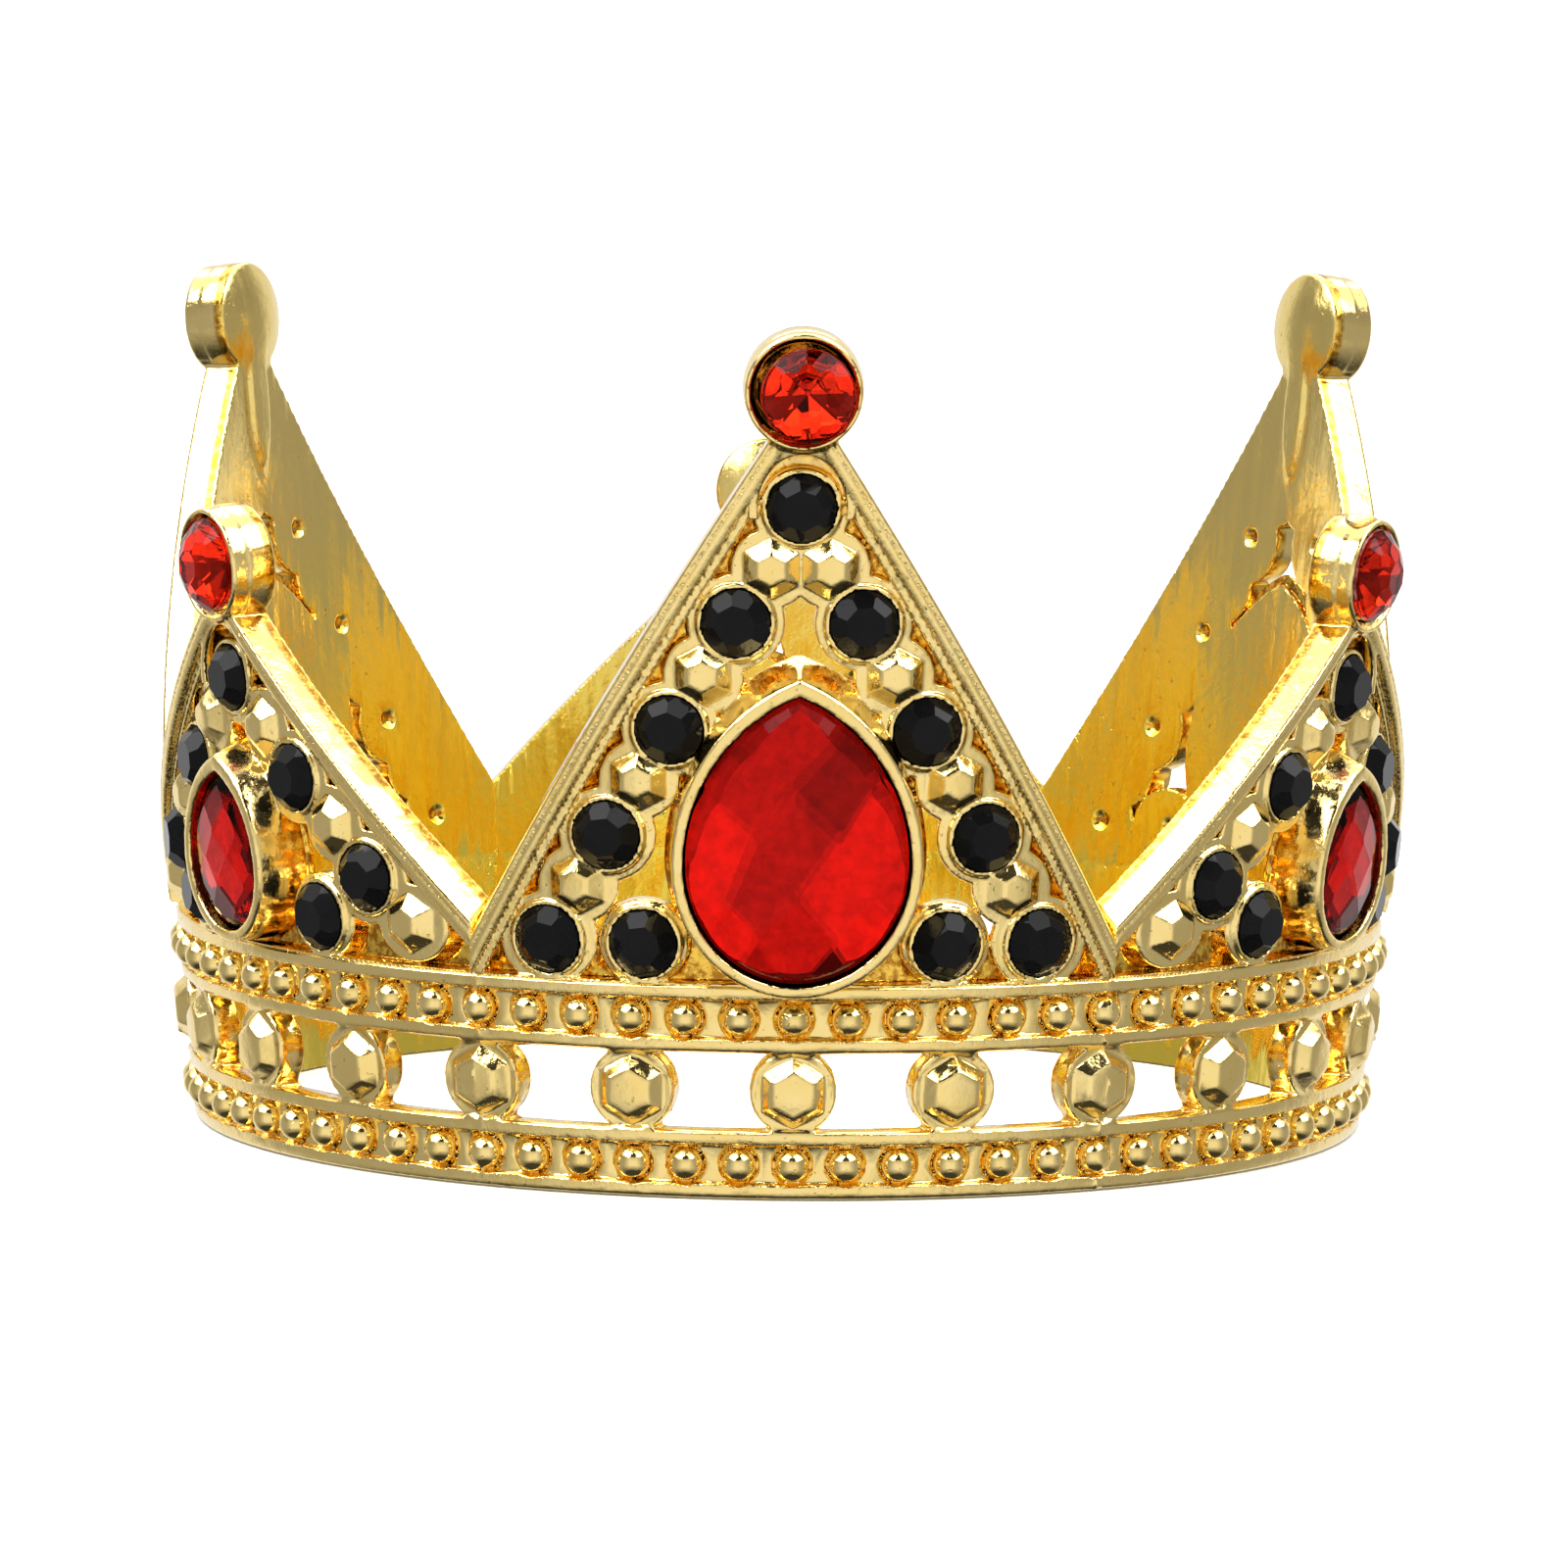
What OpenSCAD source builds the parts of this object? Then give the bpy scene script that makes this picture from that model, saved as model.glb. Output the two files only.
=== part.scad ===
// Small display crown: one moulded, gold-plated ring with six points, set with glued stones.
// +Z is up, the origin is on the ring's axis at the flat bottom rim, and the front point faces -Y.
// All lengths are in millimetres and all angles in degrees.

/* [Ring] */
// Radius of the bead centres' cone at the bottom rim
base_r = 35.95; // [34:0.05:38]
// Outward lean of the wall, as radius gained per millimetre of height
flare = 0.0975; // [0.08:0.0025:0.12]
// Depth of the smooth inner wall behind the bead centres
wall_in = 1.6; // [1.4:0.1:2]
// Number of points round the ring, large and small in turn
point_count = 6; // [6:6:6]

/* [Beaded bands] */
// Height of each beaded band
band_h = 4.04; // [3.9:0.02:4.2]
// Height of the flat bottom of the upper band
upper_band_z = 8.75; // [8.6:0.05:9]
// Width of the rim along each edge of a band
rim_w = 0.85; // [0.7:0.05:1]
// How far the rims stand out from the bead centres
rim_out = 0.45; // [0.3:0.05:0.6]
// Number of beads round each band
bead_count = 72; // [60:6:72]
// Radius of one bead
bead_r = 1.02; // [0.8:0.02:1.05]

/* [Open gallery] */
// Number of medallions round the gallery
medallion_count = 24; // [12:6:24]
// Radius of a medallion's disc
medallion_r = 2.55; // [2.45:0.05:2.7]
// Width of the foot that joins a medallion to each band
foot_w = 3; // [2:0.1:3.6]

/* [Large points] */
// Height of the neck below the tip cup of a large point
large_neck_z = 45.3; // [44:0.1:46]
// Half angle of a large point at its neck
large_neck_deg = 2.65; // [2.4:0.05:3]
// Angle gained on each side per millimetre below the neck of a large point
large_slope = 0.9; // [0.88:0.01:0.92]
// Height of the tip cup's centre on a large point
large_cup_z = 48.3; // [48:0.1:49]

/* [Small points] */
// Height of the neck below the tip cup of a small point
small_neck_z = 33.2; // [32.5:0.1:34]
// Half angle of a small point at its neck
small_neck_deg = 2.4; // [2:0.1:3]
// Angle gained on each side per millimetre below the neck of a small point
small_slope = 1.6; // [1.55:0.01:1.62]
// Height of the tip cup's centre on a small point
small_cup_z = 36.05; // [35.8:0.05:36.6]

/* [Borders and webs] */
// Width of the raised border along a point's edges
border_w = 1.35; // [1.1:0.05:1.6]
// How far the border stands out from the bead centres
border_out = 0.9; // [0.7:0.05:1.1]
// How far the web between the stones stands out from the bead centres
web_out = 0.05; // [0:0.05:0.2]
// Half height of the foot bar that carries the bottom stones
sill_h = 0.7; // [0.4:0.1:1]

/* [Black stones] */
// Radius of a black stone
black_r = 2; // [1.9:0.05:2.1]
// Full height of a black stone
black_h = 1.5; // [1.3:0.1:1.7]
// Outer radius of a black stone's cup
black_cup_r = 2.45; // [2.4:0.05:2.6]
// How far a black stone's cup stands out from the bead centres
black_cup_out = 0.6; // [0.5:0.05:0.8]
// Outer radius of the moulded dome between two black stones
dome_r = 1.75; // [1.5:0.05:1.9]

/* [Teardrops] */
// Half width of a large teardrop stone
large_drop_w = 6.65; // [6.4:0.05:6.8]
// Half width of a small teardrop stone
small_drop_w = 4; // [3.8:0.05:4.2]
// Wall of the teardrop bezel
bezel_w = 0.75; // [0.6:0.05:0.9]
// How far the teardrop bezel stands out from the bead centres
bezel_out = 1.9; // [1.7:0.1:2.1]

/* [Tip cups] */
// Outer radius of a tip cup
cup_r = 3.46; // [3.3:0.02:3.6]
// Radius of the round stone in a tip cup
tip_stone_r = 2.75; // [2.6:0.05:2.85]
// How far a tip cup's lip stands out from the bead centres
cup_out = 1.3; // [1.1:0.1:1.5]

/* [Hidden] */
$fn = 48;
POINTS = [0 : point_count - 1];

pitch = 360 / point_count;
lean = atan(flare);
lower_band_z = 0;
top_z = upper_band_z + band_h;
bead_z = band_h / 2;
reach = 60;
fit_gap = 0.03;

// How far moulded details reach back into the wall, behind the bead centres
bead_root = 0.8;
dome_root = 0.6;
black_cup_root = 1;
bezel_root = 1.1;

// Beads: a stud that stands out from the bead centres by bead_top
bead_top = 0.7;

// Medallions: a disc on a foot, with a wide and a narrow six-sided step on it
medallion_z = (band_h + upper_band_z) / 2;
medallion_back = wall_in - 0.1;
medallion_step_r = 1.9;
medallion_top_r = 1.1;
medallion_step_back = 0.5;
medallion_top_h = 0.25;
foot_lap = 0.6;

// Domes: a blunt cone on a round flat
dome_h = 1.5;
dome_skirt = 0.3;
dome_top_r = 0.9;

// Web: flat margins left round the cups, the domes and the bezel
edge_margin = 0.3;
top_margin = 0.6;
row_margin = 0.35;
base_margin = 0.3;
dome_margin = 0.85;
bezel_margin = 0.1;

// Points: the outline runs on past the neck by neck_lap, and its edges lean by edge_tan from the vertical
neck_lap = 1;
neck_h = 1.8;
neck_inset = 0.5;
neck_back = wall_in - 0.15;
neck_depth = wall_in + 0.5;
edge_steps = 6;
edge_foot = 0.5;
inset_rise = 1.1 / 30;
LARGE_EDGE_TAN = 0.56;
SMALL_EDGE_TAN = 0.92;

// Tip cups: the stone's girdle sits just inside the lip and its point reaches down the bore.
cup_bore_r = tip_stone_r + fit_gap;
cup_bore_depth = 2.1;
girdle_h = 0.4;
girdle_lift = 0.2;
tip_crown_h = 1.3;
tip_table_r = 1.1;
tip_back_h = 1.8;
tip_back_r = tip_stone_r - 0.05;
tip_point_r = 0.3;
cup_dome_h = 0.85;
cup_dome_step = 15;
cup_back = 0.15;
cup_seam = 70;

// Glue in a tip cup: a plug with a hollow that clears the stone's point
tip_glue_h = 0.9;
glue_gap = 0.02;
glue_hollow_r = 0.35;
glue_hollow_h = tip_back_h - 0.1;
glue_hollow_z = cup_bore_depth - girdle_h - tip_back_h + 0.08;

// Black stones: a flat-backed stone in a shallow cup.
black_seat_out = black_cup_out - 0.95;
black_girdle_h = 0.75;
black_table_r = 1.15;

// Teardrops: [half width, height above the widest place, depth below it, height on the wall]
LARGE_DROP = [large_drop_w, 10, 7.3, 20.4];
SMALL_DROP = [small_drop_w, 5.6, 4.1, 17.9];
drop_floor_out = 0.1;
drop_glue_h = 0.15;
drop_glue_inset = 0.3;
drop_girdle_h = 0.9;
drop_step_h = 0.9;
drop_table_h = 0.6;
drop_arc_steps = 14;
drop_bowl_steps = 24;
beak = 2.05;

// Rows of stones and domes on one side of a point: [height, angle from the point's middle line]
LARGE_TOP = [41.2, 0];
LARGE_ROW = [for (i = [1 : 4]) [40.8 - 6.4 * i, 5.75 * i - 0.3]];
LARGE_BASE = [15.2, 13.7];
LARGE_DOMES = [for (i = [0 : 3]) [37.6 - 6.35 * i, 2.5 + 5.75 * i]];
SMALL_TOP = [29, 0];
SMALL_ROW = [for (i = [1 : 2]) [29 - 5.53 * i, 8.95 * i]];
SMALL_BASE = [15.2, 11.5];
SMALL_DOMES = [for (i = [0 : 2]) [26.3 - 5.43 * i, 4.8 + 9 * i]];

function is_large(i) = i % 2 == 0;
function wall_r(z) = base_r + flare * z;
function drop_of(i) = is_large(i) ? LARGE_DROP : SMALL_DROP;
function cup_z(i) = is_large(i) ? large_cup_z : small_cup_z;
function neck_z(i) = is_large(i) ? large_neck_z : small_neck_z;
function neck_deg(i) = is_large(i) ? large_neck_deg : small_neck_deg;
function slope_of(i) = is_large(i) ? large_slope : small_slope;
function top_of(i) = is_large(i) ? LARGE_TOP : SMALL_TOP;
function row_of(i) = is_large(i) ? LARGE_ROW : SMALL_ROW;
function base_of(i) = is_large(i) ? LARGE_BASE : SMALL_BASE;
function domes_of(i) = is_large(i) ? LARGE_DOMES : SMALL_DOMES;

// Distance of a stone's middle from its point's middle line, measured inside the wall
function across(place) = (wall_r(place[0]) - 0.5) * sin(place[1]);

// Half width of a point's front edge at height z
function edge_x(i, z) = (wall_r(z) + border_out) * sin(neck_deg(i) + slope_of(i) * (neck_z(i) - z));

// Point outline seen from the front, drawn in by inset along its edges
function edge_heights(i) =
    [for (k = [0 : edge_steps]) neck_z(i) + (top_z - edge_foot - neck_z(i)) * k / edge_steps];
function lowered(z, inset) = z - inset_rise * inset * (z - top_z);
function outline(i, inset) =
    let (w = inset / cos(atan(is_large(i) ? LARGE_EDGE_TAN : SMALL_EDGE_TAN)),
         side = [for (z = edge_heights(i)) [edge_x(i, lowered(z, inset)) - w, lowered(z, inset)]])
    concat(side, [for (k = [len(side) - 1 : -1 : 0]) [-side[k].x, side[k].y]]);

// Teardrop outline: a half ellipse below the widest place and two leaning arcs above it
function drop_outline(d, grow, peak) =
    let (w = d[0] + grow, up = d[1] + peak, down = d[2] + grow,
         arc_r = (w * w + up * up) / (2 * w),
         sweep = asin(up / arc_r), n = drop_arc_steps, m = drop_bowl_steps)
    concat(
        [for (k = [0 : n - 1]) let (a = sweep * k / n) [w - arc_r + arc_r * cos(a), arc_r * sin(a)]],
        [[0, up]],
        [for (k = [n - 1 : -1 : 0]) let (a = sweep * k / n) [arc_r - w - arc_r * cos(a), arc_r * sin(a)]],
        [for (k = [1 : m - 1]) let (a = 180 + 180 * k / m) [w * cos(a), down * sin(a)]]);

// Places children on the wall at an angle and a height, with local +Z along the wall's normal
module on_wall(angle, z, out) {
    rotate([0, 0, angle]) translate([0, -(wall_r(z) + out), z]) rotate([90 + lean, 0, 0]) children();
}

// Closed ring between two cones that follow the wall
module ring(z0, z1, inner, outer) {
    rotate_extrude() polygon([
        [wall_r(z0) + inner, z0], [wall_r(z0) + outer, z0],
        [wall_r(z1) + outer, z1], [wall_r(z1) + inner, z1]]);
}

// A beaded band: a wall with a raised rim along its top and bottom edges
module band(z0) {
    z1 = z0 + band_h;
    rotate_extrude() polygon([
        [wall_r(z0) - wall_in, z0], [wall_r(z0) + rim_out, z0],
        [wall_r(z0 + rim_w) + rim_out, z0 + rim_w], [wall_r(z0 + rim_w), z0 + rim_w],
        [wall_r(z1 - rim_w), z1 - rim_w], [wall_r(z1 - rim_w) + rim_out, z1 - rim_w],
        [wall_r(z1) + rim_out, z1], [wall_r(z1) - wall_in, z1]]);
}

// A bead, kept as a short stud with a flat top
module bead(angle, z) {
    on_wall(angle, z, -bead_root) cylinder(r = bead_r, h = bead_root + bead_top);
}

// A round boss with stepped six-sided relief, on a foot that joins it to both bands
module medallion(angle) {
    foot_h = upper_band_z - band_h + foot_lap;
    on_wall(angle, medallion_z, -medallion_back) {
        translate([-foot_w / 2, -foot_h / 2, 0]) cube([foot_w, foot_h, wall_in - 0.2]);
        cylinder(r = medallion_r, h = wall_in + 0.1);
        translate([0, 0, medallion_step_back]) {
            cylinder(r = medallion_step_r, h = wall_in, $fn = 6);
            cylinder(r = medallion_top_r, h = wall_in + medallion_top_h, $fn = 6);
        }
    }
}

// A flat shape seen from the front, cut through the wall in the direction its mould slides
module cut_from_front() {
    rotate([90, 0, 0]) linear_extrude(reach) children();
}

// The raised border along both edges of a point
module border(i) {
    intersection() {
        ring(upper_band_z, neck_z(i) + neck_lap, -wall_in, border_out);
        cut_from_front() difference() {
            polygon(outline(i, 0));
            polygon(outline(i, border_w));
        }
    }
}

// A round flat on each side of a point's middle line
module flat_at(place, r) {
    for (side = [-1, 1]) {
        translate([side * across(place), place[0]]) circle(r = r);
    }
}

// The openwork behind the stones: round flats that run together, leaving gaps between them
module web(i) {
    d = drop_of(i);
    intersection() {
        ring(upper_band_z, neck_z(i) + neck_lap, -wall_in, web_out);
        cut_from_front() intersection() {
            polygon(outline(i, edge_margin));
            union() {
                flat_at(top_of(i), black_cup_r + top_margin);
                flat_at(base_of(i), black_cup_r + base_margin);
                translate([0, d[3]])
                    polygon(drop_outline(d, bezel_w + bezel_margin, beak + bezel_margin));
                for (place = row_of(i)) flat_at(place, black_cup_r + row_margin);
                for (place = domes_of(i)) flat_at(place, dome_r + dome_margin);
                translate([-reach / 2, upper_band_z]) square([reach, top_z - upper_band_z + sill_h]);
            }
        }
    }
}

module black_cup(angle, z) {
    on_wall(angle, z, -black_cup_root) difference() {
        cylinder(r = black_cup_r, h = black_cup_root + black_cup_out);
        translate([0, 0, black_cup_root + black_seat_out]) cylinder(r = black_r + fit_gap, h = 3);
    }
}

module dome(angle, z) {
    on_wall(angle, z, -dome_root) cylinder(r1 = dome_r + dome_skirt, r2 = dome_top_r, h = dome_h);
}

// The teardrop's bezel, with a beak at its top and a flat floor for the stone
module bezel(i) {
    d = drop_of(i);
    on_wall(pitch * i, d[3], -bezel_root) difference() {
        linear_extrude(bezel_root + bezel_out) polygon(drop_outline(d, bezel_w, beak));
        translate([0, 0, bezel_root + drop_floor_out])
            linear_extrude(3) polygon(drop_outline(d, fit_gap, fit_gap));
    }
}

// The cup, its bore and its domed back, as one turned shape
module tip_cup(i) {
    depth = wall_in + cup_back + cup_out;
    floor_h = depth - cup_bore_depth;
    dome = [for (a = [cup_dome_step : cup_dome_step : 90 - cup_dome_step])
        [cup_r * sin(a), -cup_dome_h * cos(a)]];
    bore = [[cup_r, 0], [cup_r, depth], [cup_bore_r, depth], [cup_bore_r, floor_h], [0, floor_h]];
    on_wall(pitch * i, cup_z(i), -wall_in - cup_back)
        rotate([0, 0, cup_seam]) rotate_extrude() polygon(concat([[0, dome[0].y]], dome, bore));
}

// The short block that carries a tip cup on the top of its point
module neck(i) {
    w = 2 * edge_x(i, neck_z(i)) - neck_inset;
    on_wall(pitch * i, neck_z(i), -neck_back)
        translate([-w / 2, -neck_lap, 0]) cube([w, neck_h, neck_depth]);
}

// The sixth of the ring above the upper band that one point fills
module point_sector(i) {
    far = reach / cos(pitch / 2);
    x = far * cos(pitch / 2);
    y = far * sin(pitch / 2);
    rotate([0, 0, pitch * i - 90]) translate([0, 0, top_z])
        linear_extrude(reach) polygon([[0, 0], [x, -y], [x, y]]);
}

// One point with all its relief, standing on the top of the upper band
module point(i) color("gold") {
    intersection() {
        point_sector(i);
        union() {
            rotate([0, 0, pitch * i]) {
                border(i);
                web(i);
            }
            for (side = [-1, 1]) {
                for (place = row_of(i)) black_cup(pitch * i + side * place[1], place[0]);
                for (place = domes_of(i)) dome(pitch * i + side * place[1], place[0]);
                black_cup(pitch * i + side * base_of(i)[1], base_of(i)[0]);
            }
            black_cup(pitch * i, top_of(i)[0]);
            bezel(i);
            neck(i);
        }
    }
    tip_cup(i);
}

// Both beaded bands and the open gallery of medallions between them
module base_ring() color("gold") {
    band(lower_band_z);
    band(upper_band_z);
    for (k = [0 : bead_count - 1]) {
        bead(360 * k / bead_count, lower_band_z + bead_z);
        bead(360 * k / bead_count, upper_band_z + bead_z);
    }
    for (k = [0 : medallion_count - 1]) medallion(360 * k / medallion_count);
}

// A round stone: a flat-topped crown above the girdle and a cone below it
module tip_stone(i) color("red") on_wall(pitch * i, cup_z(i), cup_out - girdle_h) {
    back_h = tip_back_h - 0.1;
    translate([0, 0, -back_h]) cylinder(r1 = tip_point_r, r2 = tip_back_r, h = back_h);
    cylinder(r = tip_stone_r, h = girdle_h + girdle_lift);
    translate([0, 0, girdle_h + girdle_lift]) cylinder(r1 = tip_stone_r, r2 = tip_table_r, h = tip_crown_h);
}

module tip_glue(i) color("whitesmoke") on_wall(pitch * i, cup_z(i), cup_out - cup_bore_depth) {
    difference() {
        cylinder(r = cup_bore_r - glue_gap, h = tip_glue_h);
        translate([0, 0, glue_hollow_z])
            cylinder(r1 = glue_hollow_r, r2 = tip_stone_r, h = glue_hollow_h);
    }
}

// A teardrop stone: its girdle and two steps that stand for the faceted dome
module teardrop(i) color("darkred") {
    d = drop_of(i);
    on_wall(pitch * i, d[3], drop_floor_out + drop_glue_h) {
        linear_extrude(drop_girdle_h) polygon(drop_outline(d, 0, 0));
        translate([0, 0, drop_girdle_h])
            linear_extrude(drop_step_h) polygon(drop_outline(d, -0.6, -0.65));
        translate([0, 0, drop_girdle_h + drop_step_h])
            linear_extrude(drop_table_h) polygon(drop_outline(d, -1.9, -2.1));
    }
}

module teardrop_glue(i) color("whitesmoke") {
    d = drop_of(i);
    on_wall(pitch * i, d[3], drop_floor_out)
        linear_extrude(drop_glue_h) polygon(drop_outline(d, -drop_glue_inset, -drop_glue_inset));
}

// A flat-backed black stone: a straight girdle and a crown with a flat table
module black_stone(angle, z) color("black") on_wall(angle, z, black_seat_out) {
    cylinder(r = black_r, h = black_girdle_h);
    translate([0, 0, black_girdle_h])
        cylinder(r1 = black_r, r2 = black_table_r, h = black_h - black_girdle_h);
}

module black_top(i) black_stone(pitch * i, top_of(i)[0]);
module black_row(i, side) for (place = row_of(i)) black_stone(pitch * i + side * place[1], place[0]);
module black_base(i) for (side = [-1, 1]) black_stone(pitch * i + side * base_of(i)[1], base_of(i)[0]);

base_ring();
for (i = POINTS) {
    point(i);
    tip_stone(i);
    tip_glue(i);
    teardrop(i);
    teardrop_glue(i);
    black_top(i);
    black_row(i, -1);
    black_row(i, 1);
    black_base(i);
}
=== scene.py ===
import math

import bmesh
import bpy
import numpy as np
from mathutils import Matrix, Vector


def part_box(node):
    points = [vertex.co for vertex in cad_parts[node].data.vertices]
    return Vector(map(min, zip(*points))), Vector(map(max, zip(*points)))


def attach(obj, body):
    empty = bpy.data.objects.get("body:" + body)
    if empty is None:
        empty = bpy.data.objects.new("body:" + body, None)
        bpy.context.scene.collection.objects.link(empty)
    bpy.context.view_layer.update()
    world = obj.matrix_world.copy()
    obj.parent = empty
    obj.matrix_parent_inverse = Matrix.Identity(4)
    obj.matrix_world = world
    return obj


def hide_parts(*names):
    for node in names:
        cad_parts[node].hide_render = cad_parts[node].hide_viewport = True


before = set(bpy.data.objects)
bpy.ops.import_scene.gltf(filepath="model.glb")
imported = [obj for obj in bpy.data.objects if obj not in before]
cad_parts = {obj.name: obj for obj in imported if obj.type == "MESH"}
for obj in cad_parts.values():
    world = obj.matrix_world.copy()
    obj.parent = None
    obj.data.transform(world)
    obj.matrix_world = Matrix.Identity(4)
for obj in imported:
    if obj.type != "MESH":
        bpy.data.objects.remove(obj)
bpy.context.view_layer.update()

import openvdb as vdb
from mathutils import Quaternion, Vector

MM = 0.001

# ---------------------------------------------------------------- driving dimensions, in millimetres and degrees
POINTS = range(1, 7)                    # point 1 faces the front, the odd ones are large
PITCH = 60.0
RING_LOW, RING_HIGH = (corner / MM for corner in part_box("base_ring"))
TOP_Z = RING_HIGH.z                     # top of the upper band, where the points start
BASE_R, FLARE = 35.95, 0.0975           # the wall's cone through the bead centres
LEAN = math.atan(FLARE)
WALL_IN = 1.6                           # smooth inner face, behind the bead centres
BAND_H, UPPER_BAND_Z = 4.04, 8.75
RIM_W, RIM_OUT = 0.85, 0.45
BEADS, BEAD_R, POCKET_R = 72, 1.02, 1.24
MEDALLIONS, MEDALLION_R, FOOT_W = 24, 2.55, 2.9
BORDER_OUT, WEB_OUT, RECESS_OUT = 0.9, 0.05, -1.15
BLACK_R, BLACK_H, CUP_OUT = 2.0, 1.5, 0.28
TIP_OUT, TIP_R, TIP_STONE_R = 1.3, 3.46, 2.75
BEZEL_W, BEZEL_OUT = 0.72, 1.9
CUP_SINK = (WALL_IN + 0.15) * FLARE      # a leaning cup's middle is this much lower than the middle of its back

LARGE = dict(neck_z=45.3, neck_deg=2.65, slope=0.9, cup_z=48.3 - CUP_SINK, drop=(6.65, 10.0, 7.3, 20.4),
             top=(41.2, 0.0), row=[(40.8 - 6.4 * i, 5.75 * i - 0.3) for i in range(1, 5)],
             base=(15.2, 13.7), domes=[(37.6 - 6.35 * i, 2.5 + 5.75 * i) for i in range(4)])
SMALL = dict(neck_z=33.2, neck_deg=2.4, slope=1.6, cup_z=36.05 - CUP_SINK, drop=(4.0, 5.6, 4.1, 17.9),
             top=(29.0, 0.0), row=[(29.0 - 5.53 * i, 8.95 * i) for i in range(1, 3)],
             base=(15.2, 11.5), domes=[(26.3 - 5.43 * i, 4.8 + 9.0 * i) for i in range(3)])


def design(point):
    return LARGE if point % 2 else SMALL


def wall_r(z):
    return BASE_R + FLARE * z


# ---------------------------------------------------------------- solid shapes as signed distances
FAR = 1.2


def smin(a, b, k):
    """The lower of two distances, rounded over where they cross."""
    h = np.clip(0.5 + 0.5 * (b - a) / k, 0, 1)
    return b + (a - b) * h - k * h * (1 - h)


def smax(a, b, k):
    return -smin(-a, -b, k)


class Block:
    """A box of signed distances in millimetres. Shapes are added to it and cut from it, then it becomes a mesh."""

    def __init__(self, low, high, step):
        self.low, self.step = np.array(low, float), step
        count = np.ceil((np.array(high) - self.low) / step).astype(int) + 1
        self.d = np.full(count, FAR, np.float32)

    def window(self, low, high):
        first = np.clip(np.floor((np.array(low) - self.low) / self.step).astype(int), 0, self.d.shape)
        last = np.clip(np.ceil((np.array(high) - self.low) / self.step).astype(int) + 1, 0, self.d.shape)
        axes = [self.low[i] + self.step * np.arange(first[i], last[i], dtype=np.float32) for i in range(3)]
        where = tuple(slice(first[i], last[i]) for i in range(3))
        return where, np.meshgrid(*[a.astype(np.float32) for a in axes], indexing="ij", sparse=True)

    def around(self, centre, reach):
        c = np.array(centre)
        return self.window(c - reach, c + reach)

    def add(self, place, shape, k):
        where, (x, y, z) = place
        self.d[where] = smin(self.d[where], shape(x, y, z), k)

    def cut(self, place, shape, k):
        where, (x, y, z) = place
        self.d[where] = smax(self.d[where], -shape(x, y, z), k)

    def surface(self):
        grid = vdb.FloatGrid(FAR)
        grid.copyFromArray(np.clip(self.d, -FAR, FAR))
        grid.transform = vdb.createLinearTransform(self.step)
        points, quads = grid.convertToQuads(0.0)
        return points + self.low, quads[:, ::-1]


class Seat:
    """A place on the wall: u runs to the right, v up the wall and w outwards, square to it."""

    def __init__(self, angle, z, out=0.0):
        a, r = math.radians(angle), wall_r(z) + out
        self.at = np.array([r * math.sin(a), -r * math.cos(a), z])
        self.right = np.array([math.cos(a), math.sin(a), 0.0])
        self.out = np.array([math.sin(a) * math.cos(LEAN), -math.cos(a) * math.cos(LEAN), -math.sin(LEAN)])
        self.up = np.array([math.sin(a) * math.sin(LEAN), -math.cos(a) * math.sin(LEAN), math.cos(LEAN)])

    def local(self, x, y, z):
        p = (x - self.at[0], y - self.at[1], z - self.at[2])
        return tuple((p[0] * e[0] + p[1] * e[1] + p[2] * e[2]).astype(np.float32) for e in (self.right, self.up, self.out))

    def world(self, u, v, w):
        return self.at + np.outer(u, self.right) + np.outer(v, self.up) + np.outer(w, self.out)


def off_wall(x, y, z):
    """Distance outwards from the bead centres' cone."""
    return (np.sqrt(x * x + y * y) - wall_r(z)) * math.cos(LEAN)


def disc(u, v, r):
    return np.sqrt(u * u + v * v) - r


def hexagon(u, v, apothem):
    """Hexagon with a corner at the top and upright sides."""
    c, s = math.cos(math.pi / 3), math.sin(math.pi / 3)
    a, b = np.abs(u), np.abs(v)
    return np.maximum(a, c * a + s * b) - apothem


def hex_boss(u, v, w, low, tiers):
    """A six-sided boss with a flat top. Each tier of sides runs between two (apothem, height) pairs, from the foot up."""
    c, s = math.cos(math.pi / 3), math.sin(math.pi / 3)
    d = w - tiers[-1][1]
    for (wide, z0), (narrow, z1) in zip(tiers, tiers[1:]):
        run, rise = wide - narrow, z1 - z0
        length = math.hypot(run, rise)
        across_flats = np.maximum(np.maximum(np.abs(u), np.abs(c * u + s * v)), np.abs(c * u - s * v))
        d = smax(d, (rise * (across_flats - wide) + run * (w - z0)) / length, 0.05)
    return smax(d, low - w, 0.1)


def polygon(px, py, x, y):
    """Signed distance to a closed outline in the plane, negative inside."""
    best = np.full(np.broadcast(x, y).shape, 1e9, np.float32)
    inside = np.zeros(best.shape, bool)
    n = len(px)
    for i in range(n):
        ax, ay, bx, by = px[i], py[i], px[(i + 1) % n], py[(i + 1) % n]
        ex, ey = bx - ax, by - ay
        t = np.clip(((x - ax) * ex + (y - ay) * ey) / (ex * ex + ey * ey + 1e-12), 0, 1)
        best = np.minimum(best, (x - ax - ex * t) ** 2 + (y - ay - ey * t) ** 2)
        crosses = (ay > y) != (by > y)
        if ey:
            inside ^= crosses & (x < ax + (y - ay) * ex / ey)
    return np.where(inside, -1, 1) * np.sqrt(best)


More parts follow.
